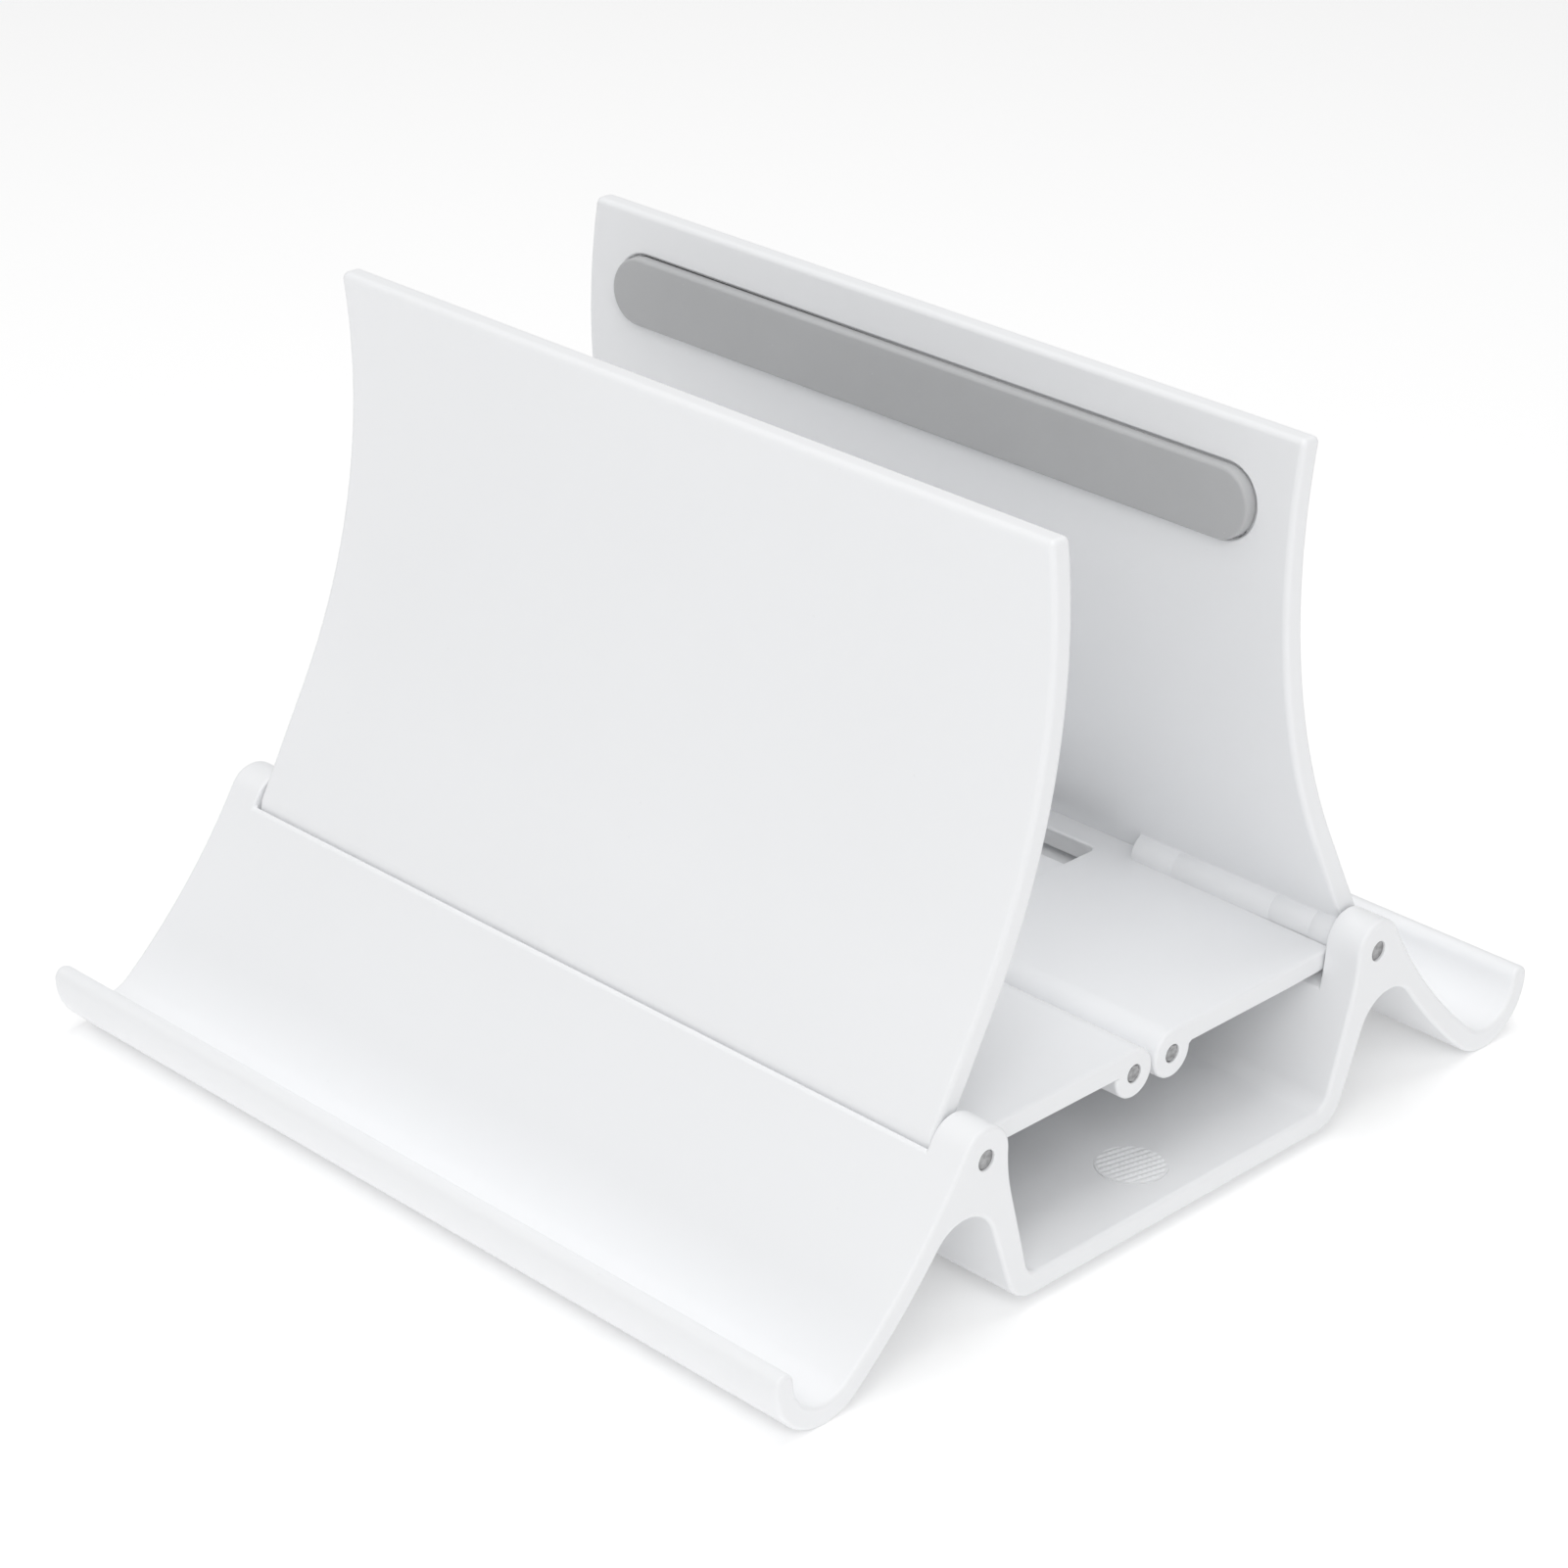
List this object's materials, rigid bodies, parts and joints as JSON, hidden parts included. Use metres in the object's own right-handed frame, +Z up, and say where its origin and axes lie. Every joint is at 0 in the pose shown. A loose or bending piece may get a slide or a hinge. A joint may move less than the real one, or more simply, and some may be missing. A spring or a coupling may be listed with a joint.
{
  "type": "laptop stand",
  "caption": "Vertical laptop stand whose two curved wings tip inwards under the laptop's weight and grip it, with an open tray along each side.",
  "frame": {"origin": "on the table under the middle of the stand", "axes": "+X across the slots, +Y along the length, +Z up"},
  "size_m": [0.1818, 0.17, 0.1227],
  "materials": {
    "white_shell": "fine satin moulded ABS",
    "grey_silicone": "matte silicone",
    "steel_pin": "turned",
    "spring_wire": "drawn wire",
    "adhesive_sheet": "matte",
    "foot_rubber": "matte"
  },
  "bodies": {
    "base_body": {"base": "white_shell", "front_left_hinge_pin": "steel_pin", "front_right_hinge_pin": "steel_pin", "rear_left_hinge_pin": "steel_pin", "rear_right_hinge_pin": "steel_pin", "front_left_foot": "foot_rubber", "front_right_foot": "foot_rubber", "rear_left_foot": "foot_rubber", "rear_right_foot": "foot_rubber", "left_return_spring": "spring_wire", "right_return_spring": "spring_wire"},
    "left_wing_body": {"left_wing": "white_shell", "left_knuckle_pin": "steel_pin", "left_grip_pad": "grey_silicone", "left_pad_tape": "adhesive_sheet"},
    "right_wing_body": {"right_wing": "white_shell", "right_knuckle_pin": "steel_pin", "right_grip_pad": "grey_silicone", "right_pad_tape": "adhesive_sheet"},
    "bridge_body": {"bridge_plate": "white_shell"}
  },
  "joints": [
    {"name": "left_wing_hinge", "type": "hinge", "parent": "base_body", "child": "left_wing_body", "pos_m": [-0.0472, 0, 0.031], "axis": [0, 1, 0], "range_deg": [0, 16.5]},
    {"name": "right_wing_hinge", "type": "hinge", "parent": "base_body", "child": "right_wing_body", "pos_m": [0.0472, 0, 0.031], "axis": [0, 1, 0], "range_deg": [-16.5, 0]},
    {"name": "bridge_drop", "type": "slide", "parent": "base_body", "child": "bridge_body", "axis": [0, 0, -1], "range_m": [0, 0.0119], "stiffness_N_per_m": 300, "springref_m": -0.008, "deforming": ["left_return_spring", "right_return_spring"]}
  ],
  "couplings": [
    {"joint": "right_wing_hinge", "follows": "left_wing_hinge", "ratio": -1},
    {"joint": "bridge_drop", "follows": "left_wing_hinge", "m_per_rad": 0.04126}
  ]
}
